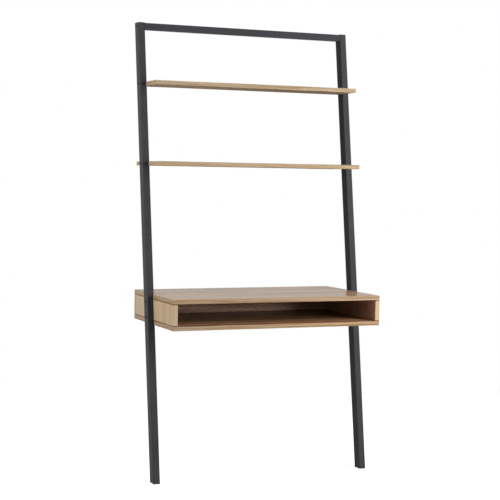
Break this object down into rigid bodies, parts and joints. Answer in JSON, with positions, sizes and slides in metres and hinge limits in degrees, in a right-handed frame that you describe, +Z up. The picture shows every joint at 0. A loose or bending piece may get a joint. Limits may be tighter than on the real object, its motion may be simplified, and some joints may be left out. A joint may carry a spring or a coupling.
{
  "type": "ladder desk",
  "caption": "Leaning ladder desk for a wall: slanting black steel tubes with a crossbar carry narrow wooden shelves above a deep desk box with an open cubby.",
  "frame": {"origin": "on the floor, midway between the legs and midway between the desk's front edge and the wall", "axes": "+Z up, +X to the right of the person at the desk, -Y towards that person and +Y towards the wall"},
  "size_m": [1, 0.525, 1.96],
  "materials": {
    "frame_steel": "satin black powder coat",
    "oak_veneer": "satin lacquered oak veneer, stained dark brown inside the desk box",
    "black_plastic": "matt black moulded plastic",
    "black_bolts": "black oxide",
    "zinc_steel": "zinc plated",
    "tongue_plywood": "raw plywood"
  },
  "bodies": {
    "root": {"left_leg": "frame_steel", "right_leg": "frame_steel", "top_crossbar": "frame_steel", "left_top_cap": "black_plastic", "right_top_cap": "black_plastic", "left_foot": "black_plastic", "right_foot": "black_plastic", "left_crossbar_end_plate": "zinc_steel", "right_crossbar_end_plate": "zinc_steel", "upper_shelf": "oak_veneer", "lower_shelf": "oak_veneer", "desk_top": "oak_veneer", "desk_bottom": "oak_veneer", "desk_left_side": "oak_veneer", "desk_right_side": "oak_veneer", "desk_back": "oak_veneer", "crossbar_bolts": "black_bolts", "upper_shelf_screws": "black_bolts", "lower_shelf_screws": "black_bolts", "desk_bolts": "black_bolts", "desk_inserts": "zinc_steel", "side_panel_tongues": "tongue_plywood", "back_panel_tongues": "tongue_plywood", "left_wall_bracket": "frame_steel", "right_wall_bracket": "frame_steel", "wall_bracket_screws": "zinc_steel"}
  },
  "joints": []
}
